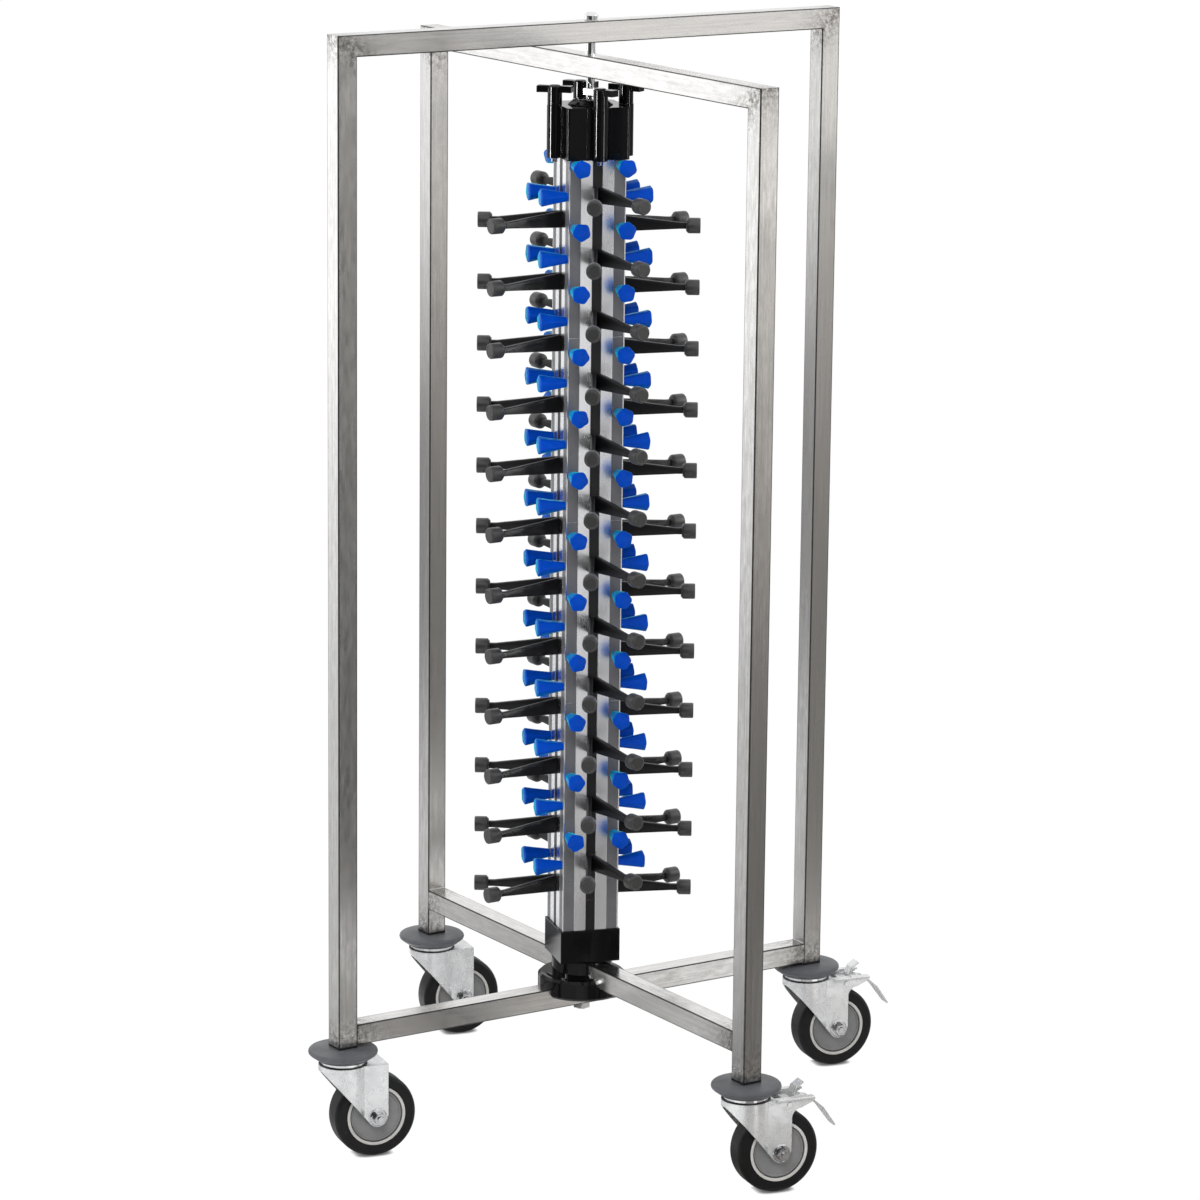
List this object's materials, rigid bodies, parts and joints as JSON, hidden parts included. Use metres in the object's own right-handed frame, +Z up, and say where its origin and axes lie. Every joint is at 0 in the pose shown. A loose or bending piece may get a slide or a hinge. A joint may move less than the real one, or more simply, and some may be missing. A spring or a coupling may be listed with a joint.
{
  "type": "plate dispenser cart",
  "caption": "Wheeled stand of crossed square tube frames with a turning column that holds plates on all sides between fixed stops and height-adjustable support arms.",
  "frame": {"origin": "on the floor, on the axis that the column turns about", "axes": "+Z up along the column axis; +X along the outer, taller frame; +Y along the inner frame; the front side of the column looks towards -Y"},
  "size_m": [0.8163, 0.785, 1.3316],
  "materials": {
    "stainless": "brushed",
    "zinc": "zinc plated",
    "chrome": "polished",
    "gloss_black": "gloss",
    "white_plastic": "matte",
    "black_plastic": "satin",
    "grey_rubber": "satin",
    "dark_rubber": "matte",
    "aluminium": "satin anodised",
    "grey_strip": "satin",
    "blue_plastic": "satin",
    "grey_plastic": "satin",
    "tyre": "matte"
  },
  "bodies": {
    "stand": {"outer_top_bar": "stainless", "outer_bottom_bar": "stainless", "outer_left_upright": "stainless", "outer_right_upright": "stainless", "inner_top_bar": "stainless", "inner_bottom_bar": "stainless", "inner_front_upright": "stainless", "inner_back_upright": "stainless", "hub": "gloss_black", "thrust_washer": "white_plastic", "pivot_bolt": "zinc", "top_rod": "chrome", "top_rod_nut": "chrome", "tube_plugs": "black_plastic", "caster_bumpers": "grey_rubber", "caster_stems": "zinc"},
    "column": {"column_profile": "aluminium", "stop_strips": "grey_strip", "plate_stops": "blue_plastic", "base_sleeve": "gloss_black", "head": "gloss_black", "head_collar": "gloss_black"},
    "front_rail": {"front_arm_rail": "black_plastic", "front_support_arms": "black_plastic", "front_arm_caps": "dark_rubber"},
    "front_adjuster": {"front_knob": "gloss_black", "front_lead_screw": "zinc"},
    "right_rail": {"right_arm_rail": "black_plastic", "right_support_arms": "black_plastic", "right_arm_caps": "dark_rubber"},
    "right_adjuster": {"right_knob": "gloss_black", "right_lead_screw": "zinc"},
    "back_rail": {"back_arm_rail": "black_plastic", "back_support_arms": "black_plastic", "back_arm_caps": "dark_rubber"},
    "back_adjuster": {"back_knob": "gloss_black", "back_lead_screw": "zinc"},
    "left_rail": {"left_arm_rail": "black_plastic", "left_support_arms": "black_plastic", "left_arm_caps": "dark_rubber"},
    "left_adjuster": {"left_knob": "gloss_black", "left_lead_screw": "zinc"},
    "front_caster": {"front_caster_fork": "zinc", "front_caster_axle": "zinc"},
    "front_wheel": {"front_caster_wheel": "grey_plastic", "front_caster_tyre": "tyre"},
    "right_caster": {"right_caster_fork": "zinc", "right_caster_axle": "zinc"},
    "right_wheel": {"right_caster_wheel": "grey_plastic", "right_caster_tyre": "tyre"},
    "back_caster": {"back_caster_fork": "zinc", "back_caster_axle": "zinc"},
    "back_wheel": {"back_caster_wheel": "grey_plastic", "back_caster_tyre": "tyre"},
    "left_caster": {"left_caster_fork": "zinc", "left_caster_axle": "zinc"},
    "left_wheel": {"left_caster_wheel": "grey_plastic", "left_caster_tyre": "tyre"},
    "front_pedal": {"front_brake_pedal": "zinc"},
    "right_pedal": {"right_brake_pedal": "zinc"}
  },
  "joints": [
    {"name": "column_spin", "type": "hinge", "parent": "stand", "child": "column", "pos_m": [0, 0, 0.5], "axis": [0, 0, 1], "continuous": true},
    {"name": "front_rail_slide", "type": "slide", "parent": "column", "child": "front_rail", "axis": [0, 0, 1], "range_m": [-0.0135, 0.0105]},
    {"name": "front_knob_turn", "type": "hinge", "parent": "column", "child": "front_adjuster", "pos_m": [-0.01257, -0.04112, 1.2], "axis": [0, 0, 1], "range_deg": [-1080, 1080]},
    {"name": "right_rail_slide", "type": "slide", "parent": "column", "child": "right_rail", "axis": [0, 0, 1], "range_m": [-0.012, 0.012]},
    {"name": "right_knob_turn", "type": "hinge", "parent": "column", "child": "right_adjuster", "pos_m": [0.04112, -0.01257, 1.2], "axis": [0, 0, 1], "range_deg": [-1080, 1080]},
    {"name": "back_rail_slide", "type": "slide", "parent": "column", "child": "back_rail", "axis": [0, 0, 1], "range_m": [-0.015, 0.009]},
    {"name": "back_knob_turn", "type": "hinge", "parent": "column", "child": "back_adjuster", "pos_m": [0.01257, 0.04112, 1.2], "axis": [0, 0, 1], "range_deg": [-1080, 1080]},
    {"name": "left_rail_slide", "type": "slide", "parent": "column", "child": "left_rail", "axis": [0, 0, 1], "range_m": [-0.0185, 0.0055]},
    {"name": "left_knob_turn", "type": "hinge", "parent": "column", "child": "left_adjuster", "pos_m": [-0.04112, 0.01257, 1.2], "axis": [0, 0, 1], "range_deg": [-1080, 1080]},
    {"name": "front_caster_swivel", "type": "hinge", "parent": "stand", "child": "front_caster", "pos_m": [0, -0.3515, 0.11], "axis": [0, 0, 1], "continuous": true},
    {"name": "front_wheel_spin", "type": "hinge", "parent": "front_caster", "child": "front_wheel", "pos_m": [0.03534, -0.35837, 0.05], "axis": [0.1908, 0.9816, 0], "continuous": true},
    {"name": "right_caster_swivel", "type": "hinge", "parent": "stand", "child": "right_caster", "pos_m": [0.3325, 0, 0.11], "axis": [0, 0, 1], "continuous": true},
    {"name": "right_wheel_spin", "type": "hinge", "parent": "right_caster", "child": "right_wheel", "pos_m": [0.36784, -0.00687, 0.05], "axis": [0.1908, 0.9816, 0], "continuous": true},
    {"name": "back_caster_swivel", "type": "hinge", "parent": "stand", "child": "back_caster", "pos_m": [0, 0.3515, 0.11], "axis": [0, 0, 1], "continuous": true},
    {"name": "back_wheel_spin", "type": "hinge", "parent": "back_caster", "child": "back_wheel", "pos_m": [0.03534, 0.34463, 0.05], "axis": [0.1908, 0.9816, 0], "continuous": true},
    {"name": "left_caster_swivel", "type": "hinge", "parent": "stand", "child": "left_caster", "pos_m": [-0.3325, 0, 0.11], "axis": [0, 0, 1], "continuous": true},
    {"name": "left_wheel_spin", "type": "hinge", "parent": "left_caster", "child": "left_wheel", "pos_m": [-0.29716, -0.00687, 0.05], "axis": [0.1908, 0.9816, 0], "continuous": true},
    {"name": "front_pedal_tilt", "type": "hinge", "parent": "front_caster", "child": "front_pedal", "pos_m": [0.04516, -0.36028, 0.1071], "axis": [0.1908, 0.9816, 0], "range_deg": [0, 12]},
    {"name": "right_pedal_tilt", "type": "hinge", "parent": "right_caster", "child": "right_pedal", "pos_m": [0.37766, -0.00878, 0.1071], "axis": [0.1908, 0.9816, 0], "range_deg": [0, 12]}
  ],
  "couplings": [
    {"joint": "front_knob_turn", "follows": "front_rail_slide", "rad_per_m": 785.4},
    {"joint": "right_knob_turn", "follows": "right_rail_slide", "rad_per_m": 785.4},
    {"joint": "back_knob_turn", "follows": "back_rail_slide", "rad_per_m": 785.4},
    {"joint": "left_knob_turn", "follows": "left_rail_slide", "rad_per_m": 785.4}
  ]
}
